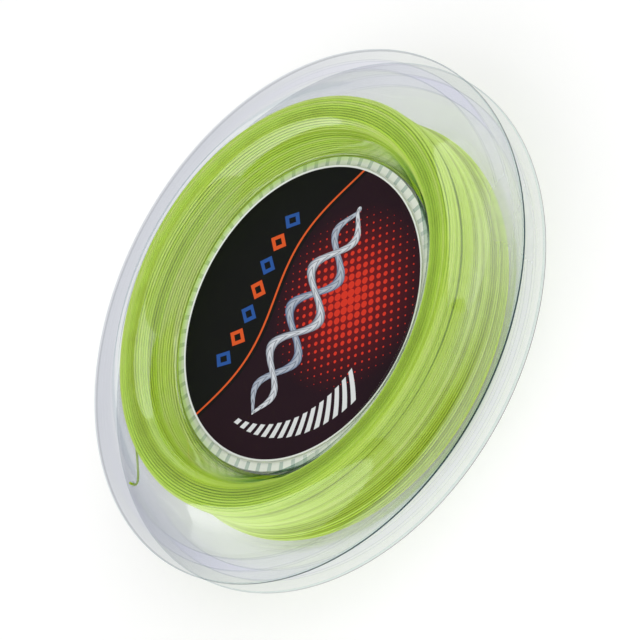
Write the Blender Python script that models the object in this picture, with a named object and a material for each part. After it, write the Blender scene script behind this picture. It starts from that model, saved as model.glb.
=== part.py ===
"""A reel of racket string: two dished clear shells plugged together at the hub, with the winding between them.

The reel lies flat. Its axis is Z, the front label faces up, and the origin is the centre of its lowest plane.
Heights are counted from the middle, the plane halfway between the shells, unless a name says otherwise.
"""

import math

import bmesh
import bpy
import numpy as np
from mathutils import Matrix, Vector

MM = 0.001

GAP = 0.3 * MM  # between pieces that touch

# The hub: both shells' floors, which carry the labels and plug together with a ring of teeth.
FLOOR_RADIUS = 45.1 * MM  # the foot of the recess's wall
FLOOR_HEIGHT = 2.2 * MM
FLOOR_FILLET = 0.7 * MM
HUB_WALL_RISE = 5.9 * MM
HUB_WALL_FLARE = 2.5 * MM
TOOTH_COUNT = 66
TOOTH_LENGTH = 1.7 * MM  # along the radius
TOOTH_INSET = 0.4 * MM  # from the floor's fillet
FRONT_TOOTH_SHARE = 0.6  # of the pitch; the back shell's teeth fill the rest
LEFT_OUT_TOOTH = 50  # its gap lets the string's inner end into the hub
LABEL_MARGIN = 0.5 * MM  # from the label to the teeth
LABEL_THICKNESS = 0.25 * MM

# The winding: a plain body of inner layers, and the last layer over it.
STRING_DIAMETER = 0.68 * MM
WINDING_DEPTH = 10.8 * MM  # from the hub's edge to the last layer's outside
WINDING_HALF_WIDTH = 12.3 * MM
SHOULDER_RADIUS = 2.0 * MM
TURN_COUNT = 14
FIRST_TURN_SETBACK = 2.9 * MM  # from the winding's side
LAST_TURN_HEIGHT = 7.4 * MM
LAST_TURN_ANGLE = math.radians(130)
INNER_END_LENGTH = 10.0 * MM

# The shells over the winding: a bulge with a flat crest, a slope and a flat rim with a fold line.
WALL = 1.1 * MM
CREST_INNER_RUN = 4.4 * MM  # from the hub's edge to the crest
CREST_SETBACK = 2.4 * MM  # from the winding's radius back to the crest's end
SLOPE_BEYOND_WINDING = 10.2 * MM
SLOPE_END_HEIGHT = 5.7 * MM
FOLD_BAND = 3.0 * MM
FOLD_HEIGHT = 5.05 * MM
RIM_BAND = 3.4 * MM
RIM_HEIGHT = 4.9 * MM

# The free end leaves the last turn, sags a little and goes out through a small hole beside the rim.
# Points in millimetres: x, y and the height above the middle.
TAIL_ROUTE = [
    (-38.07, 43.85, 7.40),
    (-39.80, 42.40, 7.35),
    (-44.90, 38.10, 6.40),
    (-51.00, 33.00, 5.10),
    (-56.60, 28.30, 4.15),
    (-60.40, 25.07, 3.75),
    (-62.10, 23.64, 4.20),
    (-62.65, 23.18, 5.30),
    (-62.65, 23.18, 6.90),
]
TAIL_SPACING = 2.0 * MM
TAIL_HOLE_CLEARANCE = 0.36 * MM  # around the string

# Worked out from the sizes above.
MIDDLE = WINDING_HALF_WIDTH + GAP + WALL  # the middle plane's height above the origin
CREST_HEIGHT = MIDDLE
HUB_EDGE_RADIUS = FLOOR_RADIUS + HUB_WALL_FLARE
HUB_EDGE_HEIGHT = FLOOR_HEIGHT + HUB_WALL_RISE
WINDING_RADIUS = HUB_EDGE_RADIUS + WINDING_DEPTH
CREST_INNER_RADIUS = HUB_EDGE_RADIUS + CREST_INNER_RUN
CREST_OUTER_RADIUS = WINDING_RADIUS - CREST_SETBACK
SLOPE_END_RADIUS = WINDING_RADIUS + SLOPE_BEYOND_WINDING
FOLD_RADIUS = SLOPE_END_RADIUS + FOLD_BAND
RIM_RADIUS = FOLD_RADIUS + RIM_BAND
TOOTH_OUTER_RADIUS = FLOOR_RADIUS - FLOOR_FILLET - TOOTH_INSET
TOOTH_INNER_RADIUS = TOOTH_OUTER_RADIUS - TOOTH_LENGTH
LABEL_RADIUS = TOOTH_INNER_RADIUS - LABEL_MARGIN
LAYER_RADIUS = WINDING_RADIUS - STRING_DIAMETER / 2  # the last layer's centre line
TURN_PITCH = (WINDING_HALF_WIDTH - FIRST_TURN_SETBACK + LAST_TURN_HEIGHT) / TURN_COUNT
TAIL_HOLE_RADIUS = STRING_DIAMETER / 2 + TAIL_HOLE_CLEARANCE
TOOTH_PITCH = math.tau / TOOTH_COUNT

# Fineness of the round forms.
POINTS_PER_TURN = 24
CORE_SEGMENTS = 48
HOLE_SEGMENTS = 12
BULGE_STEPS = 3
SLOPE_STEPS = 4
SHOULDER_STEPS = 3
SHARP_ANGLE = math.radians(28)

PLASTIC = ("clear_plastic", (0.86, 0.89, 0.90), 0.08, 0.0, 0.9)
LABEL = ("label_print", (0.05, 0.02, 0.03), 0.35, 0.0, 0.0)
STRING = ("string_nylon", (0.45, 0.68, 0.10), 0.35, 0.0, 0.0)


def clear_scene():
    for old in list(bpy.data.objects):
        bpy.data.objects.remove(old, do_unlink=True)


def principled(name, color, roughness, metallic, transmission):
    """One Principled material."""
    material = bpy.data.materials.new(name)
    material.use_nodes = True
    shader = material.node_tree.nodes["Principled BSDF"]
    shader.inputs["Base Color"].default_value = (*color, 1)
    shader.inputs["Roughness"].default_value = roughness
    shader.inputs["Metallic"].default_value = metallic
    shader.inputs["Transmission Weight"].default_value = transmission
    return material


def place(name, data, look):
    """Links an object with its own material into the scene."""
    piece = bpy.data.objects.new(name, data)
    piece.data.materials.append(principled(f"{name}_{look[0]}", *look[1:]))
    bpy.context.scene.collection.objects.link(piece)
    return piece


def finish_mesh(mesh_data, name, look):
    """Turns a closed bmesh into a piece with smooth round faces and sharp edges."""
    bmesh.ops.recalc_face_normals(mesh_data, faces=mesh_data.faces[:])
    mesh = bpy.data.meshes.new(name)
    mesh_data.to_mesh(mesh)
    mesh_data.free()
    mesh.shade_smooth()
    mesh.set_sharp_from_angle(angle=SHARP_ANGLE)
    return place(name, mesh, look)


def bezier(points, steps):
    """Points on a Bezier curve of any degree, without its first point."""
    degree = len(points) - 1
    curve = []
    for step in range(1, steps + 1):
        t = step / steps
        weights = [math.comb(degree, k) * (1 - t) ** (degree - k) * t**k for k in range(degree + 1)]
        curve.append(tuple(sum(w * p[axis] for w, p in zip(weights, points)) for axis in (0, 1)))
    return curve


def outer_face():
    """The dish's outer face as (radius, height), from the floor's edge out to the rim."""
    foot = Vector((FLOOR_RADIUS, FLOOR_HEIGHT))
    hub_edge = Vector((HUB_EDGE_RADIUS, HUB_EDGE_HEIGHT))
    fillet_end = foot + (hub_edge - foot).normalized() * FLOOR_FILLET
    face = [(FLOOR_RADIUS - FLOOR_FILLET, FLOOR_HEIGHT), tuple(fillet_end), tuple(hub_edge)]
    bulge_handle = (HUB_EDGE_RADIUS + CREST_INNER_RUN / 2, CREST_HEIGHT)
    face += bezier([hub_edge, bulge_handle, (CREST_INNER_RADIUS, CREST_HEIGHT)], BULGE_STEPS)
    slope_run = SLOPE_END_RADIUS - CREST_OUTER_RADIUS
    crest_end = (CREST_OUTER_RADIUS, CREST_HEIGHT)
    upper_handle = (CREST_OUTER_RADIUS + slope_run / 3, CREST_HEIGHT)
    lower_handle = (SLOPE_END_RADIUS - 0.4 * slope_run, SLOPE_END_HEIGHT + FLOOR_FILLET)
    slope_end = (SLOPE_END_RADIUS, SLOPE_END_HEIGHT)
    face += [crest_end] + bezier([crest_end, upper_handle, lower_handle, slope_end], SLOPE_STEPS)
    face += [(FOLD_RADIUS, FOLD_HEIGHT), (RIM_RADIUS, RIM_HEIGHT)]
    return face


def inward(face, distance):
    """The same line moved towards the winding by a distance, with mitred corners."""
    points = [Vector(p) for p in face]
    runs = [(b - a).normalized() for a, b in zip(points, points[1:])]
    runs = [Vector((1, 0))] + runs + [Vector((1, 0))]
    moved = []
    for point, before, after in zip(points, runs, runs[1:]):
        normal_before = Vector((before.y, -before.x))
        normal_after = Vector((after.y, -after.x))
        mitre = (normal_before + normal_after).normalized()
        moved.append(point + mitre * (distance / mitre.dot(normal_before)))
    return moved


def ring(mesh_data, radius, height, angles):
    return [mesh_data.verts.new((radius * math.cos(a), radius * math.sin(a), height)) for a in angles]


def skin(mesh_data, ring_a, ring_b):
    """Quads between two rings of as many points."""
    count = len(ring_a)
    for k in range(count):
        after = (k + 1) % count
        mesh_data.faces.new((ring_a[k], ring_a[after], ring_b[after], ring_b[k]))


def tooth_ring(mesh_data, edge, tooth_angle, tooth_height, left_out):
    """The floor's lower face: a plain disc, the ring of teeth, and the strip out to the wall's ring `edge`."""
    root = edge[0].co.z
    sides = [k * TOOTH_PITCH + side * tooth_angle / 2 for k in range(TOOTH_COUNT) for side in (-1, 1)]
    inner = ring(mesh_data, TOOTH_INNER_RADIUS, root, sides)
    outer = ring(mesh_data, TOOTH_OUTER_RADIUS, root, sides)
    mesh_data.faces.new(inner)
    for k in range(TOOTH_COUNT):
        start, end, after = 2 * k, 2 * k + 1, (2 * k + 2) % (2 * TOOTH_COUNT)
        mesh_data.faces.new((edge[k - 1], edge[k], outer[end], outer[start]))
        mesh_data.faces.new((edge[k], outer[after], outer[end]))
        mesh_data.faces.new((inner[end], inner[after], outer[after], outer[end]))
        foot = [inner[start], inner[end], outer[end], outer[start]]
        if k == left_out:
            mesh_data.faces.new(foot)
            continue
        tip = [mesh_data.verts.new((v.co.x, v.co.y, root - tooth_height)) for v in foot]
        skin(mesh_data, foot, tip)
        mesh_data.faces.new(tip)


def build_shell(name, tooth_angle, left_out=None):
    """One clear shell with its floor, teeth, recess wall, bulge over the winding and flat rim, facing up."""
    outside = outer_face()
    inside = inward(outside, WALL)
    mesh_data = bmesh.new()
    angles = [(k + 0.5) * TOOTH_PITCH for k in range(TOOTH_COUNT)]
    rings = [ring(mesh_data, r, z, angles) for r, z in outside + inside[::-1]]
    mesh_data.faces.new(rings[0])
    for ring_a, ring_b in zip(rings, rings[1:]):
        skin(mesh_data, ring_a, ring_b)
    space_between_floors = 2 * (FLOOR_HEIGHT - WALL)
    tooth_ring(mesh_data, rings[-1], tooth_angle, space_between_floors - GAP, left_out)
    return finish_mesh(mesh_data, name, PLASTIC)


def cut_tail_hole(shell):
    """The hole through the front shell, beside its rim, that the string's free end comes out of."""
    x, y, _ = TAIL_ROUTE[-1]
    mesh_data = bmesh.new()
    depth = CREST_HEIGHT + WALL
    bmesh.ops.create_cone(mesh_data, cap_ends=True, segments=HOLE_SEGMENTS, radius1=TAIL_HOLE_RADIUS,
                          radius2=TAIL_HOLE_RADIUS, depth=depth)
    cutter = finish_mesh(mesh_data, "tail_hole_cutter", PLASTIC)
    cutter.location = (x * MM, y * MM, MIDDLE + depth / 2)
    cutter.hide_render = True
    cutter.display_type = "WIRE"
    cut = shell.modifiers.new("tail_hole", "BOOLEAN")
    cut.operation = "DIFFERENCE"
    cut.object = cutter


def build_shells():
    """The front shell faces up. The back one is the same dish turned over, with its teeth in the front one's gaps."""
    front_angle = FRONT_TOOTH_SHARE * TOOTH_PITCH
    clearance_angle = GAP / TOOTH_INNER_RADIUS
    front = build_shell("front_shell", front_angle, LEFT_OUT_TOOTH)
    front.data.transform(Matrix.Translation((0, 0, MIDDLE)))
    cut_tail_hole(front)
    back = build_shell("back_shell", TOOTH_PITCH - front_angle - 2 * clearance_angle)
    turn_over = Matrix.Rotation(math.pi, 4, "X") @ Matrix.Rotation(TOOTH_PITCH / 2, 4, "Z")
    back.data.transform(Matrix.Translation((0, 0, MIDDLE)) @ turn_over)


def build_label(name, side):
    """A printed disc on a shell's floor, at the front for side 1 and at the back for side -1."""
    mesh_data = bmesh.new()
    bmesh.ops.create_cone(mesh_data, cap_ends=True, segments=TOOTH_COUNT, radius1=LABEL_RADIUS,
                          radius2=LABEL_RADIUS, depth=LABEL_THICKNESS)
    height = MIDDLE + side * (FLOOR_HEIGHT + GAP + LABEL_THICKNESS / 2)
    bmesh.ops.translate(mesh_data, verts=mesh_data.verts, vec=(0, 0, height))
    finish_mesh(mesh_data, name, LABEL)


def core_radius():
    """The inner layers' radius, which clears the last layer where its straight runs come nearest to the axis."""
    return LAYER_RADIUS * math.cos(math.pi / POINTS_PER_TURN) - STRING_DIAMETER / 2 - GAP


def core_outline():
    """Half the inner layers' section as (radius, height), from the hub to the middle of the outside."""
    shoulder_start = core_radius() - SHOULDER_RADIUS
    walls = inward(outer_face(), WALL + GAP)
    outline = [tuple(p) for p in walls if p.x < min(shoulder_start, CREST_OUTER_RADIUS) - GAP]
    for step in range(SHOULDER_STEPS + 1):
        turn = step / SHOULDER_STEPS * math.pi / 2
        outline.append((shoulder_start + SHOULDER_RADIUS * math.sin(turn),
                        WINDING_HALF_WIDTH - SHOULDER_RADIUS * (1 - math.cos(turn))))
    return outline


def build_core():
    """The inner layers as one plain ring, which fills the space between the shells up to the last layer."""
    upper = core_outline()
    mesh_data = bmesh.new()
    angles = [k * math.tau / CORE_SEGMENTS for k in range(CORE_SEGMENTS)]
    section = upper + [(r, -z) for r, z in reversed(upper)]
    rings = [ring(mesh_data, r, MIDDLE + z, angles) for r, z in section]
    for ring_a, ring_b in zip(rings, rings[1:] + rings[:1]):
        skin(mesh_data, ring_a, ring_b)
    finish_mesh(mesh_data, "string_inner_layers", STRING)


def build_tube(name, points, resolution):
    """A round string along a list of points, with flat closed ends."""
    curve = bpy.data.curves.new(name, "CURVE")
    curve.dimensions = "3D"
    curve.bevel_depth = STRING_DIAMETER / 2
    curve.bevel_resolution = resolution
    curve.use_fill_caps = True
    spline = curve.splines.new("POLY")
    spline.points.add(len(points) - 1)
    for target, point in zip(spline.points, points):
        target.co = (*point, 1)
    return place(name, curve, STRING)


def turn_points():
    """The last layer's centre line: a helix with a straight stretch at each end."""
    steps = TURN_COUNT * POINTS_PER_TURN
    tangent = Vector((-math.sin(LAST_TURN_ANGLE), math.cos(LAST_TURN_ANGLE), 0))
    points = []
    for step in range(steps + 1):
        to_go = (steps - step) / POINTS_PER_TURN
        angle = LAST_TURN_ANGLE - to_go * math.tau
        height = MIDDLE + LAST_TURN_HEIGHT - to_go * TURN_PITCH
        points.append(Vector((LAYER_RADIUS * math.cos(angle), LAYER_RADIUS * math.sin(angle), height)))
    first = points[0] - tangent * STRING_DIAMETER
    last = points[-1] + tangent * STRING_DIAMETER
    return [first] + points + [last]


def print_least_gap(points):
    """Measures the last layer's least gap to itself, between points half a turn or more apart."""
    line = np.array([tuple(p) for p in points])
    apart = POINTS_PER_TURN // 2
    nearest = min(np.linalg.norm(line[k + apart:] - line[k], axis=1).min() for k in range(len(line) - apart))
    print(f"least gap in the last layer: {(nearest - STRING_DIAMETER) / MM:.2f} mm")


def build_turns():
    points = turn_points()
    print_least_gap(points)
    build_tube("string_last_layer", points, 1)


def smooth_route(route, spacing):
    """Reads points about `spacing` apart from a Catmull-Rom curve through the route."""
    ends = [2 * route[0] - route[1]] + route + [2 * route[-1] - route[-2]]
    line = [route[0]]
    for before, a, b, after in zip(ends, ends[1:], ends[2:], ends[3:]):
        steps = max(2, round((b - a).length / spacing))
        for step in range(1, steps + 1):
            t = step / steps
            line.append(0.5 * (2 * a + (b - before) * t + (2 * before - 5 * a + 4 * b - after) * t**2
                               + (3 * a - before - 3 * b + after) * t**3))
    return line


def build_tail():
    route = [Vector((x * MM, y * MM, MIDDLE + height * MM)) for x, y, height in TAIL_ROUTE]
    build_tube("string_tail", smooth_route(route, TAIL_SPACING), 2)


def build_inner_end():
    """The string's first stretch, led straight between two teeth into the hub."""
    angle = LEFT_OUT_TOOTH * TOOTH_PITCH
    outward = Vector((math.cos(angle), math.sin(angle), 0))
    start = core_outline()[0][0] * math.cos(math.pi / CORE_SEGMENTS) - GAP
    middle = Vector((0, 0, MIDDLE))
    build_tube("string_inner_end", [middle + outward * start, middle + outward * (start - INNER_END_LENGTH)], 2)


def main():
    clear_scene()
    build_shells()
    build_label("front_label", 1)
    build_label("back_label", -1)
    build_core()
    build_turns()
    build_tail()
    build_inner_end()


main()
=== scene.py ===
"""The string reel as a picture: clear shells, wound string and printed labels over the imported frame."""

import math
from typing import NamedTuple

import bmesh
import bpy
import numpy as np
from mathutils import Matrix, Vector


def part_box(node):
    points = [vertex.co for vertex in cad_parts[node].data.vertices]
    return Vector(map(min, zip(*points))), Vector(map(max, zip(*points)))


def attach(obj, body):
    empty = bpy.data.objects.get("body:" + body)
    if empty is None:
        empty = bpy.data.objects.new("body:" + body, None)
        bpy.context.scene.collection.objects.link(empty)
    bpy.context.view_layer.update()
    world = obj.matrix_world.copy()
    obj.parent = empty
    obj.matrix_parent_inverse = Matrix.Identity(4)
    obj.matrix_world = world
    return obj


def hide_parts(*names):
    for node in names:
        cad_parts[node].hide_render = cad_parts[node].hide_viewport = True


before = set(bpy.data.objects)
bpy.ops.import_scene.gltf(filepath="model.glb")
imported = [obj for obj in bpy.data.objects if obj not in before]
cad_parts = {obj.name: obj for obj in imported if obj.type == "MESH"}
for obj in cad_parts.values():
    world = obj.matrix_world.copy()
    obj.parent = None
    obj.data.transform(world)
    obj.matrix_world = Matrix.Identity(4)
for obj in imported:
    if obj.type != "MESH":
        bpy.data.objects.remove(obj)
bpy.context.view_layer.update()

MM = 0.001

# Sizes of the part's source, in metres. Heights are counted from the middle plane.
GAP = 0.3 * MM
WALL = 1.1 * MM
MIDDLE = 13.7 * MM
FLOOR_RADIUS, FLOOR_HEIGHT, FLOOR_FILLET = 45.1 * MM, 2.2 * MM, 0.7 * MM
HUB_EDGE_RADIUS, HUB_EDGE_HEIGHT = 47.6 * MM, 8.1 * MM
CREST_INNER_RADIUS, CREST_OUTER_RADIUS, CREST_HEIGHT = 52.0 * MM, 56.0 * MM, 13.7 * MM
SLOPE_END_RADIUS, SLOPE_END_HEIGHT = 68.6 * MM, 5.7 * MM
FOLD_RADIUS, FOLD_HEIGHT = 71.6 * MM, 5.05 * MM
RIM_RADIUS, RIM_HEIGHT = 75.0 * MM, 4.9 * MM
TOOTH_COUNT, TOOTH_INNER_RADIUS, TOOTH_OUTER_RADIUS = 66, 42.3 * MM, 44.0 * MM
TOOTH_PITCH = math.tau / TOOTH_COUNT
FRONT_TOOTH_ANGLE = 0.6 * TOOTH_PITCH
BACK_TOOTH_ANGLE = TOOTH_PITCH - FRONT_TOOTH_ANGLE - 2 * GAP / TOOTH_INNER_RADIUS
LEFT_OUT_TOOTH = 50
STRING_RADIUS = 0.34 * MM
WINDING_RADIUS = 58.4 * MM
LAYER_RADIUS = WINDING_RADIUS - STRING_RADIUS
LAST_LAYER_TURNS = 24
LAST_TURN_HEIGHT, FIRST_TURN_HEIGHT = 7.4 * MM, -9.4 * MM
LAST_TURN_ANGLE = math.radians(130)
INNER_END_LENGTH = 10.0 * MM
TAIL_ROUTE = [
    (-38.07, 43.85, 7.40),
    (-39.80, 42.40, 7.35),
    (-44.90, 38.10, 6.40),
    (-51.00, 33.00, 5.10),
    (-56.60, 28.30, 4.15),
    (-60.40, 25.07, 3.75),
    (-62.10, 23.64, 4.20),
    (-62.65, 23.18, 5.30),
    (-62.65, 23.18, 6.90),
]
TAIL_SPACING = 1.0 * MM
TAIL_HOLE_RADIUS = 0.7 * MM

# The shells' meshes.
RIM_ROUNDING = 0.3 * MM
STEPS_PER_PITCH = 4
SHARP_ANGLE = math.radians(26)

# The picture's winding. It is fuller than the CAD's towards the back and at the far side.
BACK_SWELL, BACK_SWELL_TOP, BACK_SWELL_RUN = 1.3 * MM, -1 * MM, 8.4 * MM
FAR_SWELL, FAR_SWELL_ANGLE, FAR_SWELL_REACH = 0.6 * MM, math.radians(80), math.radians(48)
INNER_PITCH = 0.70 * MM
# The creases below are painted shade on each turn's flanks, where two turns meet.
INNER_POINTS, INNER_SIDES, INNER_CREASE_SHADE = 150, 6, 0.1
LAST_POINTS, LAST_SIDES, LAST_CREASE_SHADE = 180, 8, 0.55
FILLING_SIDES = 180

# The camera, fitted to the photograph's ellipses.
ELEVATION = math.radians(42.5)
ROLL = math.radians(62.25)
DISTANCE = 0.58
FOCAL_SHARE = 2183 / 640  # of the picture's width
AIM_RIGHT, AIM_UP = 0.5 * MM, -4.35 * MM
SENSOR_WIDTH = 36

# Soft boxes round the reel: azimuth and elevation in degrees, width and height in metres,
# and brightness, where 1 is white.
BOX_DISTANCE = 1.2
SOFT_BOXES = {
    "west_box": (179, 25.5, 1.9, 1.12, 1.65),
    "east_box": (-12, 28.5, 1.3, 1.25, 1.65),
    "south_box": (-90, 52, 1.1, 0.9, 0.64),
}
FILL_STRENGTH = 0.47
FLOOR_HALF_SIZE, FLOOR_DROP = 6.0, 0.1 * MM
CLEAR_LAYERS = 32  # that a ray passes before it stops

random = np.random.default_rng(7)


# ---------------------------------------------------------------- camera


def make_camera():
    forward = Vector((0, math.cos(ELEVATION), -math.sin(ELEVATION)))
    right = Vector((1, 0, 0))
    up = right.cross(forward)
    rolled_right = math.cos(ROLL) * right - math.sin(ROLL) * up
    rolled_up = math.sin(ROLL) * right + math.cos(ROLL) * up
    aim = Vector((0, 0, MIDDLE)) + AIM_RIGHT * right + AIM_UP * up
    data = bpy.data.cameras.new("camera")
    data.sensor_width = SENSOR_WIDTH
    data.lens = SENSOR_WIDTH * FOCAL_SHARE
    data.clip_start, data.clip_end = 0.01, 20
    camera = bpy.data.objects.new("camera", data)
    bpy.context.scene.collection.objects.link(camera)
    turn = Matrix((rolled_right, rolled_up, -forward)).transposed()
    camera.matrix_world = Matrix.Translation(aim - forward * DISTANCE) @ turn.to_4x4()
    bpy.context.scene.camera = camera


# ---------------------------------------------------------------- nodes


class Value:
    """A number in a node tree, with the usual arithmetic."""

    def __init__(self, tree, socket):
        self.tree, self.socket = tree, socket

    def math(self, operation, *others, clamp=False):
        node = self.tree.nodes.new("ShaderNodeMath")
        node.operation, node.use_clamp = operation, clamp
        for socket, value in zip(node.inputs, (self, *others)):
            feed(self.tree, socket, value)
        return Value(self.tree, node.outputs[0])

    def __add__(self, other):
        return self.math("ADD", other)

    def __sub__(self, other):
        return self.math("SUBTRACT", other)

    def __mul__(self, other):
        return self.math("MULTIPLY", other)

    def __truediv__(self, other):
        return self.math("DIVIDE", other)

    __radd__, __rmul__ = __add__, __mul__

    def __rsub__(self, other):
        return (self * -1).math("ADD", other)

    def sin(self):
        return self.math("SINE")

    def abs(self):
        return self.math("ABSOLUTE")

    def least(self, other):
        return self.math("MINIMUM", other)

    def most(self, other):
        return self.math("MAXIMUM", other)

    def power(self, other):
        return self.math("POWER", other)

    def modulo(self, other):
        return self.math("MODULO", other)

    def repeat(self, period):
        """The distance to the nearest multiple of a period."""
        return self.math("PINGPONG", period / 2)

    def ramp(self, start, slope):
        """0 up to a start, and from there a rise to 1."""
        return (self - start).math("MULTIPLY", slope, clamp=True)

    def below(self, limit, soft):
        """1 where this is under a limit and 0 over it, with a soft step."""
        return (limit - self).math("MULTIPLY_ADD", 1 / soft, 0.5, clamp=True)

    def above(self, limit, soft):
        """1 where this is over a limit and 0 under it, with a soft step."""
        return (self - limit).math("MULTIPLY_ADD", 1 / soft, 0.5, clamp=True)

    def near(self, middle, reach, soft):
        """1 where this is within reach of a middle, with soft steps."""
        return (self - middle).abs().below(reach, soft)


def feed(tree, socket, value):
    if isinstance(value, Value):
        tree.links.new(value.socket, socket)
    elif isinstance(value, bpy.types.NodeSocket):
        tree.links.new(value, socket)
    elif isinstance(value, (tuple, list)) and socket.type == "RGBA":
        socket.default_value = (*value, 1)
    else:
        socket.default_value = value


def node(tree, kind, settings=None, **inputs):
    """A node with settings, and inputs by name with spaces as underscores."""
    made = tree.nodes.new(kind)
    for key, value in (settings or {}).items():
        setattr(made, key, value)
    for key, value in inputs.items():
        feed(tree, made.inputs[key.replace("_", " ")], value)
    return made


def mix(tree, factor, first, second):
    """A colour between two others."""
    made = tree.nodes.new("ShaderNodeMix")
    made.data_type = "RGBA"
    feed(tree, made.inputs[0], factor)
    feed(tree, made.inputs[6], first)
    feed(tree, made.inputs[7], second)
    return made.outputs[2]


def mix_shaders(tree, factor, first, second):
    made = node(tree, "ShaderNodeMixShader", Fac=factor)
    tree.links.new(first.outputs[0], made.inputs[1])
    tree.links.new(second.outputs[0], made.inputs[2])
    return made


def coordinates(tree, kind="Object"):
    return tree.nodes.new("ShaderNodeTexCoord").outputs[kind]


def noise(tree, scale, detail):
    made = node(tree, "ShaderNodeTexNoise", Scale=scale, Detail=detail, Vector=coordinates(tree))
    return Value(tree, made.outputs["Fac"])


def bump(tree, strength, distance, height):
    """A normal with small relief."""
    made = node(tree, "ShaderNodeBump", Strength=strength, Distance=distance, Height=height)
    return made.outputs[0]


def distance(x, y):
    return (x * x + y * y).power(0.5)


def place_in_mm(tree):
    """The object's own x and y, distance from the axis and height over the middle, in millimetres."""
    scaled = node(tree, "ShaderNodeVectorMath", {"operation": "SCALE"}, Scale=1 / MM)
    tree.links.new(coordinates(tree), scaled.inputs[0])
    parts = node(tree, "ShaderNodeSeparateXYZ", Vector=scaled.outputs[0])
    x, y, z = (Value(tree, socket) for socket in parts.outputs)
    return x, y, distance(x, y), z - MIDDLE / MM


def material(name):
    """A material with its tree, its Principled shader and its output."""
    made = bpy.data.materials.new(name)
    made.use_nodes = True
    tree = made.node_tree
    return made, tree, tree.nodes["Principled BSDF"], tree.nodes["Material Output"]


def srgb(*levels):
    """A colour from sRGB levels of 0 to 255."""
    shares = [level / 255 for level in levels]
    return tuple(s / 12.92 if s <= 0.04045 else ((s + 0.055) / 1.055) ** 2.4 for s in shares)


# ---------------------------------------------------------------- clear plastic

# What the plastic lets through, in linear light. The far side's lilac, the folds' grey and the crest's
# green are painted shade.
CLEAR = (0.945, 0.953, 0.955), (0.965, 0.972, 0.972)
CLEAR_IN_SHADOW = (0.975, 0.98, 0.98)
CLEAR_NEAR_HUB = (0.985, 0.99, 0.99)
LILAC_BAND = (0.945, 0.945, 0.985)
LILAC_FAR_SIDE_SHADE = (0.79, 0.80, 0.835)
FOLD_SHADE_GREY = (0.82, 0.83, 0.87)
CREST_SHADE_GREEN = (0.87, 0.90, 0.79)
STEEP_PALE = (0.78, 0.84, 0.86)
SPECK_BROWN = (0.45, 0.40, 0.36)
EDGE_PALE = (0.80, 0.86, 0.86)
FAR_EDGE = (0.89, 0.89, 0.91), (0.66, 0.67, 0.70)

# The milky teeth, painted shade in the gaps between them, a painted lime reflection of the winding and a
# painted reflection of a soft box.
MILKY_AND_REFLECTION = (0.90, 0.93, 0.88), (0.96, 0.97, 0.94)
GAP_SHADE = (0.64, 0.75, 0.71)
LIME_REFLECTION = (0.60, 0.84, 0.27)

PLASTIC_IOR = 1.5
BOTH_FACES, GLOSS_LIMIT = 1.9, 0.42


class ShellLook(NamedTuple):
    """What differs between the shells. Places are in millimetres."""

    name: str
    steep_colour: tuple  # of a wall seen edge on, inside steep_radius
    steep_radius: float
    edge_colour: tuple  # of the rim's edge under edge_height
    edge_height: float
    tooth_angle: float
    tooth_phase: float  # in pitches
    left_out: int | None = None  # in pitches from the x axis


FRONT_LOOK = ShellLook("clear_plastic_front", steep_colour=(0.12, 0.32, 0.26), steep_radius=57.0,
                       edge_colour=(0.02, 0.08, 0.10), edge_height=4.62,
                       tooth_angle=FRONT_TOOTH_ANGLE, tooth_phase=0.0,
                       left_out=LEFT_OUT_TOOTH - TOOTH_COUNT)
BACK_LOOK = ShellLook("clear_plastic_back", steep_colour=(0.74, 0.86, 0.52), steep_radius=62.2,
                      edge_colour=(0.46, 0.42, 0.45), edge_height=-4.45,
                      tooth_angle=BACK_TOOTH_ANGLE, tooth_phase=0.5)


def dust(tree):
    """A few small specks."""
    cells = node(tree, "ShaderNodeTexVoronoi", Scale=45.0, Vector=coordinates(tree))
    cell = Value(tree, node(tree, "ShaderNodeSeparateColor", Color=cells.outputs["Color"]).outputs[0])
    return Value(tree, cells.outputs["Distance"]).below(0.010, 0.004) * cell.below(0.35, 0.01)


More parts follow.
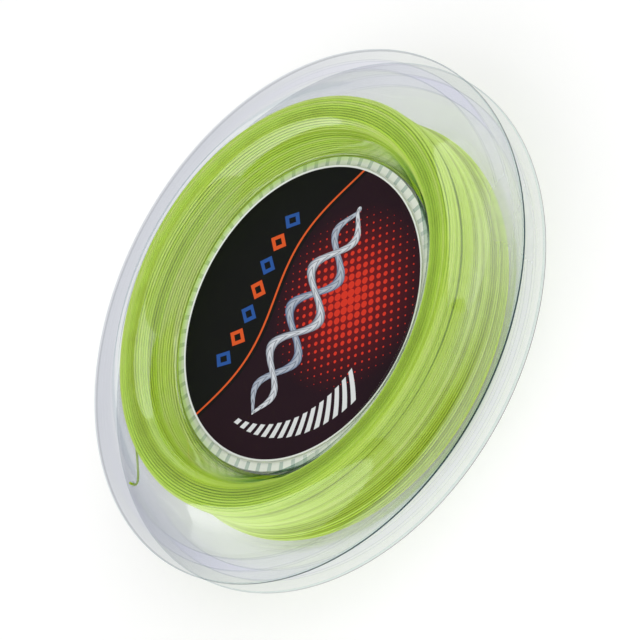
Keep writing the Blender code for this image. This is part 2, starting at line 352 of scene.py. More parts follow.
def plastic_tint(tree, place, behind, near_hub, look):
    """What the plastic lets through, darker where a wall is seen edge on, with painted shade on the far
    side, along the folds and by the crest.
    """
    x, y, radius, height = place
    facing = Value(tree, tree.nodes.new("ShaderNodeLayerWeight").outputs["Facing"])
    tint = mix(tree, noise(tree, 35, 2), *CLEAR)
    on_band = radius.near((SLOPE_END_RADIUS + FOLD_RADIUS) / 2 / MM, 1.5, 0.2)
    tint = mix(tree, on_band, tint, LILAC_BAND)
    # Painted shade: the flange's far side darker and lilac.
    to_far_side = (y * 0.978 - x * 0.208) / (RIM_RADIUS / MM)
    far_side_shade = to_far_side.math("MULTIPLY_ADD", 1.1, 0.11, clamp=True) * radius.above(64.0, 6.0)
    tint = mix(tree, far_side_shade, tint, LILAC_FAR_SIDE_SHADE)
    # Painted shade: thin darker lines along the two folds.
    off_folds = (radius - SLOPE_END_RADIUS / MM).abs().least((radius - FOLD_RADIUS / MM).abs())
    tint = mix(tree, off_folds.below(0.12, 0.08), tint, FOLD_SHADE_GREY)

    steep = facing.ramp(0.62, 2.6).power(1.5) * (radius.above(49.0, 3.0) * 0.6 + 0.4)
    inner_face = (radius - height).below(38.2, 0.3)
    thin_line = facing.ramp(0.74, 5.0) * (1 - inner_face) * 0.9
    steep = steep * (1 - near_hub) + thin_line * near_hub
    tint = mix(tree, near_hub, tint, CLEAR_NEAR_HUB)
    # Painted shade: a darker green over the crest on the near side.
    near_crest_shade = y.below(-16.0, 30.0) * radius.near(53.8, 2.8, 3.5) * 0.8
    tint = mix(tree, near_crest_shade, tint, CREST_SHADE_GREEN)
    steep_colour = mix(tree, radius.below(look.steep_radius, 2.0), STEEP_PALE, look.steep_colour)
    tint = mix(tree, steep, tint, steep_colour)
    tint = mix(tree, dust(tree), tint, SPECK_BROWN)

    on_edge = radius.above(RIM_RADIUS / MM - 0.35, 0.06)
    edge = mix(tree, height.below(look.edge_height, 0.08), EDGE_PALE, look.edge_colour)
    far_edge = mix(tree, height.below(look.edge_height - 0.45, 0.08), *FAR_EDGE)
    return mix(tree, on_edge, tint, mix(tree, behind, edge, far_edge))


def gloss_share(tree, y, radius, behind, near_hub):
    """How much the plastic mirrors, from the side that faces the eye."""
    fresnel = Value(tree, node(tree, "ShaderNodeFresnel", IOR=PLASTIC_IOR).outputs[0])
    share = (fresnel * BOTH_FACES).least(GLOSS_LIMIT) * (1 - behind)
    on_slope = (radius - (60.5 - y * 0.09)).above(0, 3.0)
    near_wall = radius.near(50.0, 1.8, 1.0) * y.below(0, 20.0)
    for dull, cut in ((on_slope, 0.6), (near_wall, 0.75), (near_hub, 0.7)):
        share = share * (1 - dull * cut)
    return share


def milkiness_and_reflection(tree, place, behind, look):
    """How milky the plastic is and in what colour: the teeth seen through the floor with painted shade in
    the gaps between them, a painted lime reflection of the winding on the ring's far part, and a painted
    reflection of a soft box on the near slope and rim.
    """
    x, y, radius, height = place
    pitches = y.math("ARCTAN2", x) / TOOTH_PITCH
    half_tooth = look.tooth_angle / TOOTH_PITCH / 2
    on_tooth = (pitches + look.tooth_phase).repeat(1.0).below(half_tooth + 0.04, 0.03)
    if look.left_out is not None:
        on_tooth = on_tooth * (1 - pitches.near(look.left_out, 0.5, 0.01))
    ring_radius = (TOOTH_INNER_RADIUS + TOOTH_OUTER_RADIUS) / 2 / MM
    on_ring = (radius - ring_radius + 0.2).abs().below(1.45, 0.25)
    on_ring = on_ring * height.abs().near(FLOOR_HEIGHT / MM, 0.5, 0.2)
    near_ring, far_ring = y.below(-30.0, 14.0), y.above(8.0, 30.0)
    # Painted shade: a darker grey-green in the gaps between teeth.
    gap_shade = (1 - on_tooth) * radius.above(42.15, 0.1) * (1 - near_ring * 0.9)
    in_teeth = height.abs().below((FLOOR_HEIGHT - WALL) / MM - 0.05, 0.02)
    in_teeth = in_teeth * radius.near(ring_radius, 0.95, 0.06)
    milky_and_reflection = (on_ring * (0.95 - gap_shade * 0.16 - far_ring * 0.30)).most(in_teeth * 0.35)

    # Painted reflection of a soft box: a pale veil over the near slope and rim, more on the right.
    box_reflection = x.above(10.0, 24.0) * radius.near(68.2, 4.9, 2.0)
    box_reflection = box_reflection.most(radius.near(71.2, 2.0, 1.5)) * y.below(-36.0, 30.0) * (1 - behind)
    right_fold = x.above(34.0, 20.0) * radius.near(69.2, 3.4, 2.0)
    milky_and_reflection = milky_and_reflection.most(box_reflection * (right_fold * 0.14 + 0.16))

    colour = mix(tree, noise(tree, 700, 2), *MILKY_AND_REFLECTION)
    colour = mix(tree, gap_shade, colour, GAP_SHADE)
    # Painted reflection of the lime winding over the far part of the ring.
    lime_reflection = far_ring * (radius.above(43.3, 0.9) * 0.5 + 0.35)
    return milky_and_reflection, mix(tree, lime_reflection, colour, LIME_REFLECTION)


def clear_plastic(look):
    """Thin clear plastic that doesn't bend what is seen through it, and mirrors as its two faces would.

    What bending and reflections do in the photograph is painted on by place, as tints with painted shade,
    dull areas and painted reflections. It was set from the photograph's side, so it stays where it is
    when seen from others.
    """
    made, tree, shader, output = material(look.name)
    tree.nodes.remove(shader)
    place = place_in_mm(tree)
    _, y, radius, _ = place
    behind = Value(tree, tree.nodes.new("ShaderNodeNewGeometry").outputs["Backfacing"])
    near_hub = y.below(-12.0, 24.0) * radius.below(52.5, 1.0)

    tint = plastic_tint(tree, place, behind, near_hub, look)
    through = node(tree, "ShaderNodeBsdfTransparent", Color=tint)
    ripples = bump(tree, 0.10, 0.2 * MM, noise(tree, 45, 1))
    roughness = noise(tree, 90, 3) * 0.07 + 0.04
    mirror = node(tree, "ShaderNodeBsdfGlossy", Roughness=roughness, Normal=ripples)
    surface = mix_shaders(tree, gloss_share(tree, y, radius, behind, near_hub), through, mirror)

    milky_and_reflection, milky_and_reflection_colour = milkiness_and_reflection(tree, place, behind, look)
    frost_and_reflection = node(tree, "ShaderNodeBsdfDiffuse", Color=milky_and_reflection_colour)
    surface = mix_shaders(tree, milky_and_reflection, surface, frost_and_reflection)

    in_shadow = node(tree, "ShaderNodeBsdfTransparent", Color=CLEAR_IN_SHADOW)
    shadow_ray = tree.nodes.new("ShaderNodeLightPath").outputs["Is Shadow Ray"]
    surface = mix_shaders(tree, shadow_ray, surface, in_shadow)
    tree.links.new(surface.outputs[0], output.inputs["Surface"])
    return made


# ---------------------------------------------------------------- string

# Linear colours from the painted shade in the creases between turns to the brightest turns.
STRING_CREASE_SHADE, STRING_LOW = (0.24, 0.36, 0.010), (0.43, 0.60, 0.015)
STRING_MID, STRING_HIGH = (0.69, 0.96, 0.085), (0.85, 0.99, 0.27)
STRING_GLOW = 0.18  # share of the light that passes through


def string_nylon():
    """Lime nylon that follows the tone of each turn, with painted shade in the creases where turns meet.
    """
    made, tree, shader, output = material("string_nylon")
    tone = Value(tree, node(tree, "ShaderNodeAttribute", {"attribute_name": "tone"}).outputs["Fac"])
    shade = tone + noise(tree, 160, 3) * 0.36 - 0.18
    # Painted shade: below 0 the tone runs into the creases' darker colour.
    colour = mix(tree, shade.ramp(0, -1.4), STRING_LOW, STRING_CREASE_SHADE)
    colour = mix(tree, shade.ramp(0, 2), colour, STRING_MID)
    colour = mix(tree, shade.ramp(0.5, 2), colour, STRING_HIGH)
    feed(tree, shader.inputs["Base Color"], colour)
    feed(tree, shader.inputs["Roughness"], noise(tree, 900, 2) * 0.15 + 0.3)
    feed(tree, shader.inputs["Specular IOR Level"], 0.35)
    feed(tree, shader.inputs["Normal"], bump(tree, 0.2, 0.03 * MM, noise(tree, 2500, 2)))
    glow = node(tree, "ShaderNodeBsdfTranslucent", Color=colour)
    surface = mix_shaders(tree, STRING_GLOW, shader, glow)
    tree.links.new(surface.outputs[0], output.inputs["Surface"])
    return made


# ---------------------------------------------------------------- label

# The print's colours.
PRINT_FIELD = srgb(26, 10, 19), srgb(41, 16, 29)
PRINT_BLACK = srgb(10, 12, 11)
GLOW_RED, DOT_RED = srgb(176, 30, 26), srgb(212, 52, 34)
STRIPE_ORANGE = srgb(222, 92, 40)
DIAMOND_BLUE, DIAMOND_ORANGE = srgb(40, 84, 156), srgb(219, 86, 36)
STRANDS = (
    (0.0, srgb(178, 186, 198), srgb(84, 104, 140)),
    (math.pi, srgb(214, 218, 224), srgb(110, 118, 134)),
)
STRAND_LINES = srgb(52, 60, 80)
BAR_WHITE = srgb(222, 224, 226)
PAPER = srgb(233, 236, 235), srgb(239, 242, 241)

# Its places and sizes, in millimetres.
GLOW_X, GLOW_Y, GLOW_RADIUS = 9.0, -15.0, 27.0
DOT_PITCH, DOT_COS, DOT_SIN = 2.3, 0.82, 0.57
STRIPE_OFF, STRIPE_HALF = 1.6, 0.36
DIAMOND_PITCH, DIAMOND_START, DIAMOND_ROW = 7.0, -101.5, 9.2
DIAMOND_OUTER, DIAMOND_INNER, ROW_HALF = 2.8, 1.3, 24.0
RIBBON_X, RIBBON_Y, RIBBON_HALF = 1.0, -3.0, 31.0
WAVE_HEIGHT, WAVE_PACE, WAVE_START = 6.2, 0.26, -30.0
STRAND_HALF = 1.9
FAN_RADIUS, BAR_DEGREES, BAR_SLANT = 33.4, 5.2, 0.9
FIRST_BAR, MIDDLE_BAR = 34.0, 7.0
FIELD_RADIUS, FIELD_Y = 41.25, -0.12


def print_glow(tree, x, y, colour):
    """A red glow with a grid of dots that grow towards its middle."""
    glow = (1 - distance(x - GLOW_X, y - GLOW_Y) / GLOW_RADIUS).most(0)
    colour = mix(tree, glow.power(1.5) * 0.62, colour, GLOW_RED)
    along = (x * DOT_COS + y * DOT_SIN).repeat(DOT_PITCH)
    across = (y * DOT_COS - x * DOT_SIN).repeat(DOT_PITCH)
    dots = distance(along, across).below(glow * 1.25, 0.14)
    return mix(tree, dots * (1 - glow.below(0.06, 0.08)), colour, DOT_RED)


def print_sweep(tree, over_sweep, colour):
    """A black area over a waved edge, with an orange stripe along it."""
    colour = mix(tree, over_sweep.below(0, 0.25), PRINT_BLACK, colour)
    return mix(tree, over_sweep.near(STRIPE_OFF, STRIPE_HALF, 0.12), colour, STRIPE_ORANGE)


def print_diamonds(tree, x, over_sweep, colour):
    """A row of hollow diamonds in two colours by turns."""
    along = x - DIAMOND_START
    off_middle = (along.modulo(DIAMOND_PITCH) - DIAMOND_PITCH / 2).abs()
    off_middle = off_middle + (over_sweep - DIAMOND_ROW).abs() * 0.8
    in_row = x.abs().below(ROW_HALF, 0.1)
    odd = along.modulo(2 * DIAMOND_PITCH).below(DIAMOND_PITCH, 0.01)
    diamond = mix(tree, odd, DIAMOND_BLUE, DIAMOND_ORANGE)
    colour = mix(tree, off_middle.below(DIAMOND_OUTER, 0.12) * in_row, colour, diamond)
    return mix(tree, off_middle.below(DIAMOND_INNER, 0.12) * in_row, colour, PRINT_BLACK)


def print_ribbon(tree, x, y, colour):
    """Two strands twisted round each other, which taper at both ends."""
    reach = (1 - ((x - RIBBON_X) / RIBBON_HALF).power(2.0)).most(0).power(0.5)
    for phase, pale, blue in STRANDS:
        wave = ((x - WAVE_START) * WAVE_PACE + phase).sin() * reach * WAVE_HEIGHT
        off = (y - RIBBON_Y - wave).abs()
        strand = off.below(reach * STRAND_HALF, 0.14) * x.near(RIBBON_X, RIBBON_HALF, 0.1)
        lines = (off + x * 0.5).repeat(1.2).below(0.16, 0.12)
        body = mix(tree, (off * 0.55).power(2.0).least(1), pale, blue)
        colour = mix(tree, strand, colour, mix(tree, lines * 0.6, body, STRAND_LINES))
    return colour


def print_fan(tree, x, y, radius, colour):
    """A fan of slanted bars, each a little longer than the one before."""
    degrees = (y.math("ARCTAN2", x) * (180 / math.pi) + 360.0).modulo(360.0)
    slanted = (degrees + (radius - 33.0) * BAR_SLANT) / BAR_DEGREES
    count = slanted.math("FLOOR") - FIRST_BAR
    bar = slanted.math("FRACT").near(0.5, 0.28, 0.02)
    length = (radius - FAN_RADIUS).abs().below(count * 0.24 + 0.8, 0.15)
    return mix(tree, bar * length * count.near(MIDDLE_BAR, 7.5, 0.01), colour, BAR_WHITE)


def label_print():
    """A generic print on paper with a white margin: its inner face is bare."""
    made, tree, shader, _ = material("label_print")
    x, y, radius, height = place_in_mm(tree)
    over_sweep = y - (9.0 - x * 0.16 + (x * 0.085).sin() * 4.2)
    colour = mix(tree, noise(tree, 40, 2), *PRINT_FIELD)
    colour = print_glow(tree, x, y, colour)
    colour = print_sweep(tree, over_sweep, colour)
    colour = print_diamonds(tree, x, over_sweep, colour)
    colour = print_ribbon(tree, x, y, colour)
    colour = print_fan(tree, x, y, radius, colour)

    normal = node(tree, "ShaderNodeSeparateXYZ", Vector=coordinates(tree, "Normal"))
    inner_face = (Value(tree, normal.outputs["Z"]) * height).below(0.05, 0.02)
    printed = distance(x, y - FIELD_Y).below(FIELD_RADIUS, 0.08) * (1 - inner_face)
    paper = mix(tree, noise(tree, 250, 3), *PAPER)
    feed(tree, shader.inputs["Base Color"], mix(tree, printed, paper, colour))
    feed(tree, shader.inputs["Roughness"], noise(tree, 300, 2) * 0.12 + 0.34)
    feed(tree, shader.inputs["Specular IOR Level"], 0.12)
    feed(tree, shader.inputs["Normal"], bump(tree, 0.08, 0.05 * MM, noise(tree, 900, 2)))
    return made


# ---------------------------------------------------------------- meshes


def show(name, mesh, look):
    piece = bpy.data.objects.new(name, mesh)
    bpy.context.scene.collection.objects.link(piece)
    mesh.materials.append(look)
    return piece


def mesh_from(mesh_data, name):
    """A mesh of bmesh data, which is freed."""
    mesh = bpy.data.meshes.new(name)
    mesh_data.to_mesh(mesh)
    mesh_data.free()
    return mesh


def quarter_turn(steps):
    return [step / steps * math.pi / 2 for step in range(steps + 1)]


def bezier(points, steps):
    """Points on a Bezier curve of any degree, without its first point."""
    degree = len(points) - 1
    curve = []
    for step in range(1, steps + 1):
        t = step / steps
        weights = [math.comb(degree, k) * (1 - t) ** (degree - k) * t**k for k in range(degree + 1)]
        curve.append(Vector([sum(w * p[axis] for w, p in zip(weights, points)) for axis in (0, 1)]))
    return curve


def outer_face():
    """The shell's outer face as (radius, height), from the floor's edge out to the rim."""
    foot = Vector((FLOOR_RADIUS, FLOOR_HEIGHT))
    hub_edge = Vector((HUB_EDGE_RADIUS, HUB_EDGE_HEIGHT))
    fillet_end = foot + (hub_edge - foot).normalized() * FLOOR_FILLET
    fillet_start = Vector((FLOOR_RADIUS - FLOOR_FILLET, FLOOR_HEIGHT))
    crest_inner = Vector((CREST_INNER_RADIUS, CREST_HEIGHT))
    crest_outer = Vector((CREST_OUTER_RADIUS, CREST_HEIGHT))
    bulge_handle = Vector(((HUB_EDGE_RADIUS + CREST_INNER_RADIUS) / 2, CREST_HEIGHT))
    slope_run = SLOPE_END_RADIUS - CREST_OUTER_RADIUS
    upper_handle = Vector((CREST_OUTER_RADIUS + slope_run / 3, CREST_HEIGHT))
    lower_handle = Vector((SLOPE_END_RADIUS - 0.4 * slope_run, SLOPE_END_HEIGHT + FLOOR_FILLET))
    slope_end = Vector((SLOPE_END_RADIUS, SLOPE_END_HEIGHT))
    face = [fillet_start] + bezier([fillet_start, foot, fillet_end], 5)
    face += [fillet_end.lerp(hub_edge, share) for share in (0.25, 0.5, 0.75, 1)]
    face += bezier([hub_edge, bulge_handle, crest_inner], 14)
    face += [crest_inner.lerp(crest_outer, share) for share in (0.5, 1)]
    face += bezier([crest_outer, upper_handle, lower_handle, slope_end], 22)
    face += [Vector((FOLD_RADIUS, FOLD_HEIGHT)), Vector((RIM_RADIUS, RIM_HEIGHT))]
    return face


def inward(face, depth):
    """The same line moved towards the winding, with mitred corners."""
    runs = [(b - a).normalized() for a, b in zip(face, face[1:])]
    runs = [Vector((1, 0))] + runs + [Vector((1, 0))]
    moved = []
    for point, before, after in zip(face, runs, runs[1:]):
        normal_before, normal_after = Vector((before.y, -before.x)), Vector((after.y, -after.x))
        mitre = (normal_before + normal_after).normalized()
        moved.append(point + mitre * (depth / mitre.dot(normal_before)))
    return moved


def rim_edge(top, bottom):
    """The rim's outer edge, rounded over at both corners."""
    upper, lower = [], []
    for turn in quarter_turn(4):
        across, down = RIM_ROUNDING * (1 - math.sin(turn)), RIM_ROUNDING * (1 - math.cos(turn))
        upper.append(Vector((top.x - across, top.y - down)))
        lower.append(Vector((bottom.x - down, bottom.y + across)))
    return upper + lower


def ring(mesh_data, radius, height, angles):
    return [mesh_data.verts.new((radius * math.cos(a), radius * math.sin(a), height)) for a in angles]


def skin(mesh_data, ring_a, ring_b):
    count = len(ring_a)
    for k in range(count):
        after = (k + 1) % count
        mesh_data.faces.new((ring_a[k], ring_a[after], ring_b[after], ring_b[k]))


def add_teeth(mesh_data, inner, outer, tip, left_out):
    """Closes the flat ring between two circles of points, with a tooth on each pitch."""
    for k in range(TOOTH_COUNT):
        spots = [(STEPS_PER_PITCH * k + step) % len(inner) for step in range(STEPS_PER_PITCH + 1)]
        flat = range(STEPS_PER_PITCH) if k == left_out else (2, 3)
        for step in flat:
            a, b = spots[step], spots[step + 1]
            mesh_data.faces.new((inner[a], inner[b], outer[b], outer[a]))
        if k == left_out:
            continue
        foot = [inner[spot] for spot in spots[:3]] + [outer[spot] for spot in spots[2::-1]]
        ends = [mesh_data.verts.new((v.co.x, v.co.y, tip)) for v in foot]
        skin(mesh_data, foot, ends)
        mesh_data.faces.new((ends[0], ends[1], ends[4], ends[5]))
        mesh_data.faces.new((ends[1], ends[2], ends[3], ends[4]))


def shell_mesh(name, tooth_angle, left_out=None):
    """A shell facing up: a turned wall, a floor and the ring of teeth under it, all one closed mesh."""
    outside = outer_face()
    inside = inward(outside, WALL)
    outline = outside[:-1] + rim_edge(outside[-1], inside[-1]) + inside[-2::-1]
    offsets = (-tooth_angle / 2, 0, tooth_angle / 2, TOOTH_PITCH / 2)
    angles = [k * TOOTH_PITCH + offset for k in range(TOOTH_COUNT) for offset in offsets]
    mesh_data = bmesh.new()
    rings = [ring(mesh_data, p.x, p.y, angles) for p in outline]
    mesh_data.faces.new(rings[0])
    for ring_a, ring_b in zip(rings, rings[1:]):
        skin(mesh_data, ring_a, ring_b)
    root = inside[0].y
    tip = root - (2 * (FLOOR_HEIGHT - WALL) - GAP)
    outer = ring(mesh_data, TOOTH_OUTER_RADIUS, root, angles)
    inner = ring(mesh_data, TOOTH_INNER_RADIUS, root, angles)
    skin(mesh_data, rings[-1], outer)
    mesh_data.faces.new(inner)
    add_teeth(mesh_data, inner, outer, tip, left_out)
    bmesh.ops.recalc_face_normals(mesh_data, faces=mesh_data.faces[:])
    return mesh_from(mesh_data, name)


def cut_tail_hole(shell):
    x, y, _ = TAIL_ROUTE[-1]
    mesh_data = bmesh.new()
    bmesh.ops.create_cone(mesh_data, cap_ends=True, segments=24, radius1=TAIL_HOLE_RADIUS,
                          radius2=TAIL_HOLE_RADIUS, depth=CREST_HEIGHT + WALL)
    cutter = bpy.data.objects.new("tail_hole_cutter", mesh_from(mesh_data, "tail_hole_cutter"))
    bpy.context.scene.collection.objects.link(cutter)
    cutter.location = (x * MM, y * MM, MIDDLE + (CREST_HEIGHT + WALL) / 2)
    cut = shell.modifiers.new("tail_hole", "BOOLEAN")
    cut.operation, cut.object, cut.solver = "DIFFERENCE", cutter, "EXACT"
    bpy.context.view_layer.update()
    evaluated = shell.evaluated_get(bpy.context.evaluated_depsgraph_get())
    result = bpy.data.meshes.new_from_object(evaluated)
    shell.modifiers.clear()
    shell.data = result
    bpy.data.objects.remove(cutter, do_unlink=True)


def finish_shell(shell):
    shell.data.shade_smooth()
    shell.data.set_sharp_from_angle(angle=SHARP_ANGLE)


def make_shells():
    front_look, back_look = clear_plastic(FRONT_LOOK), clear_plastic(BACK_LOOK)
    front_mesh = shell_mesh("clear_front", FRONT_TOOTH_ANGLE, LEFT_OUT_TOOTH)
    front = show("clear_front", front_mesh, front_look)
    front.data.transform(Matrix.Translation((0, 0, MIDDLE)))
    cut_tail_hole(front)
    finish_shell(front)
    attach(front, "front_half")
    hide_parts("front_shell")
    back = show("clear_back", shell_mesh("clear_back", BACK_TOOTH_ANGLE), back_look)
    turn_over = Matrix.Rotation(math.pi, 4, "X") @ Matrix.Rotation(TOOTH_PITCH / 2, 4, "Z")
    back.data.transform(Matrix.Translation((0, 0, MIDDLE)) @ turn_over)
    finish_shell(back)
    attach(back, "back_half")
    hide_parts("back_shell")


# ---------------------------------------------------------------- winding


def unit(vectors):
    return vectors / np.linalg.norm(vectors, axis=1)[:, None]


def tube_mesh(name, line, tones, sides, crease_shade):
    """A round tube along a line around the axis, with closed ends.

    Each point has its ring's tone, less a painted shade at the flanks, where two turns meet.
    """
    tangent = unit(np.gradient(line, axis=0))
    out = unit(line * (1, 1, 0))
    normal = unit(out - tangent * (out * tangent).sum(1)[:, None])
    side = np.cross(tangent, normal)
    turn = np.arange(sides) * math.tau / sides
    cos, sin = np.cos(turn)[None, :, None], np.sin(turn)[None, :, None]
    ring_points = line[:, None] + STRING_RADIUS * (cos * normal[:, None] + sin * side[:, None])
    points = np.concatenate([ring_points.reshape(-1, 3), line[[0, -1]]])

    count = len(line)
    start = np.arange(count - 1)[:, None] * sides
    k = np.arange(sides)[None, :]
    after = (k + 1) % sides
    quads = np.stack([start + k, start + after, start + after + sides, start + k + sides], -1)
    faces = quads.reshape(-1, 4).tolist()
    last = (count - 1) * sides
    faces += [(count * sides, (j + 1) % sides, j) for j in range(sides)]
    faces += [(count * sides + 1, last + j, last + (j + 1) % sides) for j in range(sides)]
    mesh = bpy.data.meshes.new(name)
    mesh.from_pydata(points.tolist(), [], faces)
    mesh.shade_smooth()

    ring_tones = tones[:, None] - crease_shade * np.sin(turn)[None, :] ** 2
    point_tones = np.concatenate([ring_tones.ravel(), tones[[0, -1]]]).astype(np.float32)
    mesh.attributes.new("tone", "FLOAT", "POINT").data.foreach_set("value", point_tones)
    return mesh


def drift(turns, waves, pace, size):
    """Slow waves along a winding, which change a little from each turn to the next."""
    total = np.zeros_like(turns)
    whole = int(turns.max()) + 2
    for wave in waves:
        walk = np.cumsum(random.normal(0, pace, whole)) + random.uniform(0, math.tau)
        phase = np.interp(turns, np.arange(whole), walk)
        total += np.sin(turns * math.tau * wave + phase) / wave**0.5
    return total * size


def turn_tones(turns, low, high, most):
    """A tone for each turn, with slow changes along it."""
    whole = int(turns.max()) + 2
    per_turn = np.interp(turns, np.arange(whole), random.uniform(low, high, whole))
    return np.clip(per_turn + drift(turns, (1, 3), 1.0, 0.1), 0, most)


def layer_radius(height):
    """The radius of the last layer: the winding is fuller in its back half."""
    share = np.clip((BACK_SWELL_TOP - height) / BACK_SWELL_RUN, 0, 1)
    return LAYER_RADIUS + BACK_SWELL * share * share * (3 - 2 * share)


def far_swell(angle):
    """How much of FAR_SWELL the winding has at an angle."""
    off = (angle - FAR_SWELL_ANGLE + math.pi) % math.tau - math.pi
    return np.cos(np.clip(off / FAR_SWELL_REACH, -1, 1) * math.pi / 2) ** 2


def wound_line(radius, angle, height):
    return np.stack([radius * np.cos(angle), radius * np.sin(angle), MIDDLE + height], -1)


def winding_outline():
    """The line on which the turns under the last layer lie, from the front nose to the back nose."""
    depth = WALL + STRING_RADIUS + 0.16 * MM
    crest_depth = depth + 0.25 * MM
    shoulder = 1.3 * MM
    top = CREST_HEIGHT - crest_depth
    shoulder_start = LAYER_RADIUS - shoulder - 0.2 * MM
    front = [p for p in inward(outer_face(), crest_depth) if p.x < shoulder_start]
    for turn in quarter_turn(8):
        across, down = shoulder * (1 - math.sin(turn)), shoulder * (1 - math.cos(turn))
        front.append(Vector((LAYER_RADIUS - across, top - down)))
    front.append(Vector((LAYER_RADIUS, LAST_TURN_HEIGHT + 0.65 * MM)))
    heights = np.linspace(6.9, -9.3, 24) * MM
    side = [Vector((layer_radius(h) - 2 * STRING_RADIUS - 0.05 * MM, h)) for h in heights]
    back_end = layer_radius(FIRST_TURN_HEIGHT) + 0.15 * MM
    back = [Vector((p.x, -p.y)) for p in inward(outer_face(), depth) if p.x < back_end and p.y > 0]
    return front + side + back[::-1]


def inner_turns_mesh(name, outline):
    """All inner layers as one strand that runs over the winding's whole outside."""
    outline = np.array([tuple(p) for p in outline])
    steps = np.linalg.norm(np.diff(outline, axis=0), axis=1)
    along = np.concatenate([[0], np.cumsum(steps)])

    def at(place):
        """Radius and height at a distance along the outline."""
        place = np.clip(place, 0, along[-1])
        return np.stack([np.interp(place, along, outline[:, k]) for k in (0, 1)], -1)

    rounds = int(along[-1] / INNER_PITCH)
    turns = np.arange(rounds * INNER_POINTS + 1) / INNER_POINTS
    place = turns * along[-1] / rounds + drift(turns, (1, 2, 3), 0.35, 0.16 * MM)
    place = np.clip(place, 0, along[-1])
    sunk = 0.10 * MM + drift(turns, (1, 2, 4), 1.1, 0.10 * MM)
    run = unit(at(place + 0.3 * MM) - at(place - 0.3 * MM))
    radius, height = at(place).T
    radius, height = radius + run[:, 1] * sunk, height - run[:, 0] * sunk
    angle = turns * math.tau
    outer_share = np.clip((radius - 54 * MM) / (3 * MM), 0, 1)
    radius = radius + FAR_SWELL * far_swell(angle) * outer_share
    tones = turn_tones(turns, 0.24, 0.92, 1)
    return tube_mesh(name, wound_line(radius, angle, height), tones, INNER_SIDES, INNER_CREASE_SHADE)


def filling_mesh(name, outline):
    """A plain closed body just inside the inner turns."""
    angles = [k * math.tau / FILLING_SIDES for k in range(FILLING_SIDES)]
    core = Vector((53 * MM, 0))
    mesh_data = bmesh.new()
    rings = []
    for p in outline:
        q = p + (core - p).normalized() * 0.35 * MM
        rings.append(ring(mesh_data, q.x, MIDDLE + q.y, angles))
    for ring_a, ring_b in zip(rings, rings[1:] + rings[:1]):
        skin(mesh_data, ring_a, ring_b)
    bmesh.ops.recalc_face_normals(mesh_data, faces=mesh_data.faces[:])
    mesh = mesh_from(mesh_data, name)
    mesh.shade_smooth()
    return mesh


def make_winding(look):
    outline = winding_outline()
    strand = show("inner_turns", inner_turns_mesh("inner_turns", outline), look)
    body = show("inner_filling", filling_mesh("inner_filling", outline), look)
    for piece in (strand, body):
        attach(piece, "back_half")
        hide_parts("string_inner_layers")


def make_last_layer(look):
    """The last layer as one unbroken strand that ends where the tail leaves it."""
    turns = np.arange(LAST_LAYER_TURNS * LAST_POINTS + 1) / LAST_POINTS
    angle = LAST_TURN_ANGLE - (LAST_LAYER_TURNS - turns) * math.tau
    share = turns / LAST_LAYER_TURNS
    height = FIRST_TURN_HEIGHT + share * (LAST_TURN_HEIGHT - FIRST_TURN_HEIGHT)
    off_ends = np.clip(np.minimum(turns, LAST_LAYER_TURNS - turns) * 3, 0, 1)
    height = height + drift(turns, (1, 2, 3), 0.35, 0.34 * MM) * off_ends
    height = np.clip(height, FIRST_TURN_HEIGHT, LAST_TURN_HEIGHT)
    radius = layer_radius(height) - np.abs(drift(turns, (1, 2, 4), 1.0, 0.09 * MM)) * off_ends
    sunk_start = 0.5 * MM * np.clip(1 - turns * 18, 0, 1)
    radius = radius - sunk_start + FAR_SWELL * far_swell(angle)
    tones = turn_tones(turns, 0.2, 1.05, 1.1)
    mesh = tube_mesh("last_turns", wound_line(radius, angle, height), tones, LAST_SIDES, LAST_CREASE_SHADE)
    piece = show("last_turns", mesh, look)
    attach(piece, "back_half")
    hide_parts("string_last_layer")


# ---------------------------------------------------------------- free and inner end


def smooth_route(route, spacing):
    """Points about `spacing` apart on a Catmull-Rom curve through the route."""
    ends = [2 * route[0] - route[1]] + route + [2 * route[-1] - route[-2]]
    line = [route[0]]
    for before, a, b, after in zip(ends, ends[1:], ends[2:], ends[3:]):
        steps = max(2, round((b - a).length / spacing))
        for step in range(1, steps + 1):
            t = step / steps
            line.append(0.5 * (2 * a + (b - before) * t + (2 * before - 5 * a + 4 * b - after) * t**2
                               + (3 * a - before - 3 * b + after) * t**3))
    return line


def string_curve(name, line, look):
    curve = bpy.data.curves.new(name, "CURVE")
    curve.dimensions = "3D"
    curve.bevel_depth = STRING_RADIUS
    curve.bevel_resolution = 4
    curve.use_fill_caps = True
    spline = curve.splines.new("POLY")
    spline.points.add(len(line) - 1)
    for target, point in zip(spline.points, line):
        target.co = (*point, 1)
    piece = show(name, curve, look)
    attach(piece, "back_half")
    return piece


def make_tail(look):
    route = [Vector((x * MM, y * MM, MIDDLE + height * MM)) for x, y, height in TAIL_ROUTE]
    line = smooth_route(route, TAIL_SPACING)
    tail = string_curve("free_end", line, look)
    length = sum((b - a).length for a, b in zip(line, line[1:]))
    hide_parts("string_tail")


def make_inner_end(look):
    """The string's first stretch, led between two teeth into the hub, with a slight wave."""
    low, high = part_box("string_inner_end")
    angle = LEFT_OUT_TOOTH * TOOTH_PITCH
    outward = Vector((math.cos(angle), math.sin(angle), 0))
    corners = [Vector((x, y, 0)) for x in (low[0], high[0]) for y in (low[1], high[1])]
    corner_gap = STRING_RADIUS * (abs(outward.x) * abs(outward.y)) * 2
    start = max(c.dot(outward) for c in corners) - corner_gap
    middle = Vector((0, 0, MIDDLE))
    steps, wave = 12, 0.12 * MM
    line = [middle + outward * (start - INNER_END_LENGTH * k / steps)
            + Vector((0, 0, wave * math.sin(k * 0.9))) for k in range(steps + 1)]
    piece = string_curve("inner_end", line, look)
    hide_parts("string_inner_end")


# ---------------------------------------------------------------- stage and light


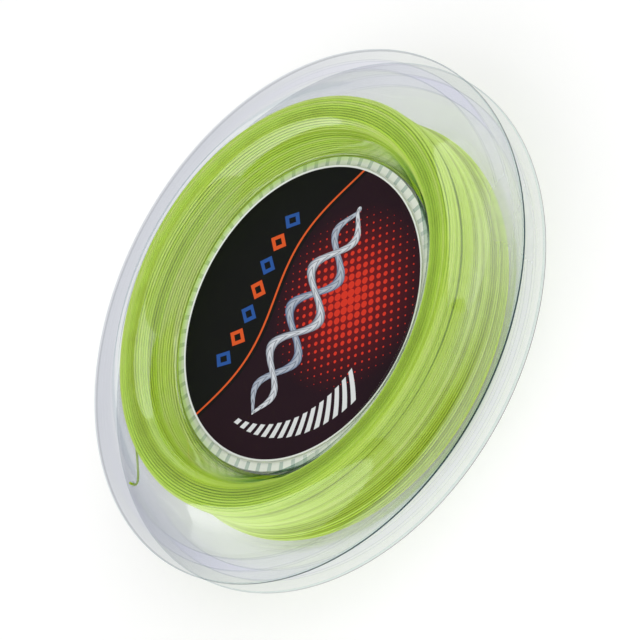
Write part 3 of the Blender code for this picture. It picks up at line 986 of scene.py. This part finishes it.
def seen_directly(tree):
    """1 for the rays that show a background: camera, glossy and transmission rays."""
    path = tree.nodes.new("ShaderNodeLightPath")
    seen = Value(tree, path.outputs["Is Camera Ray"])
    for name in ("Is Glossy Ray", "Is Transmission Ray"):
        seen = seen.most(Value(tree, path.outputs[name]))
    return seen


def make_floor():
    """A white floor that keeps the reel's shadow."""
    made, tree, shader, _ = material("floor")
    feed(tree, shader.inputs["Base Color"], mix(tree, noise(tree, 400, 2), (0.63,) * 3, (0.65,) * 3))
    feed(tree, shader.inputs["Roughness"], 0.9)
    feed(tree, shader.inputs["Specular IOR Level"], 0.0)
    feed(tree, shader.inputs["Emission Color"], (1, 1, 1))
    _, _, radius, _ = place_in_mm(tree)
    beyond_lamps = (radius / 1000).ramp(0.7, 2.5)
    feed(tree, shader.inputs["Emission Strength"], seen_directly(tree) * (beyond_lamps * 0.33 + 0.42))
    mesh = bpy.data.meshes.new("floor")
    s = FLOOR_HALF_SIZE
    mesh.from_pydata([(-s, -s, 0), (s, -s, 0), (s, s, 0), (-s, s, 0)], [], [(0, 1, 2, 3)])
    floor = show("floor", mesh, made)
    floor.location.z = -FLOOR_DROP


def make_world():
    """White round the horizon and grey overhead for the rays that show it, and a weak even fill."""
    world = bpy.data.worlds.new("world")
    bpy.context.scene.world = world
    world.use_nodes = True
    tree = world.node_tree
    background = tree.nodes["Background"]
    direction = node(tree, "ShaderNodeSeparateXYZ", Vector=coordinates(tree, "Generated"))
    shown = Value(tree, direction.outputs["Z"]).below(0.42, 0.30) * 0.62 + 0.38
    seen = seen_directly(tree)
    feed(tree, background.inputs["Color"], (1, 1, 1))
    feed(tree, background.inputs["Strength"], seen * shown + (1 - seen) * FILL_STRENGTH)


def make_soft_box(name, azimuth, elevation, width, height, strength):
    """A soft box turned to the reel, with an even brightness."""
    around, up = math.radians(azimuth), math.radians(elevation)
    direction = Vector((math.cos(up) * math.cos(around), math.cos(up) * math.sin(around), math.sin(up)))
    place = direction * BOX_DISTANCE
    data = bpy.data.lights.new(name, "AREA")
    data.shape = "RECTANGLE"
    data.size, data.size_y = width, height
    data.energy = strength * math.pi * width * height
    lamp = bpy.data.objects.new(name, data)
    lamp.location = place
    lamp.rotation_mode = "QUATERNION"
    lamp.rotation_quaternion = (-place).to_track_quat("-Z", "Y")
    bpy.context.scene.collection.objects.link(lamp)


# ---------------------------------------------------------------- all of it


make_camera()
nylon = string_nylon()
make_tail(nylon)
make_winding(nylon)
make_last_layer(nylon)
make_inner_end(nylon)
make_shells()
print_look = label_print()
for label in ("front_label", "back_label"):
    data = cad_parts[label].data
    data.materials.clear()
    data.materials.append(print_look)
make_floor()
make_world()
for name, box in SOFT_BOXES.items():
    make_soft_box(name, *box)
bpy.context.scene.view_settings.view_transform = "Standard"
bpy.context.scene.cycles.transparent_max_bounces = CLEAR_LAYERS
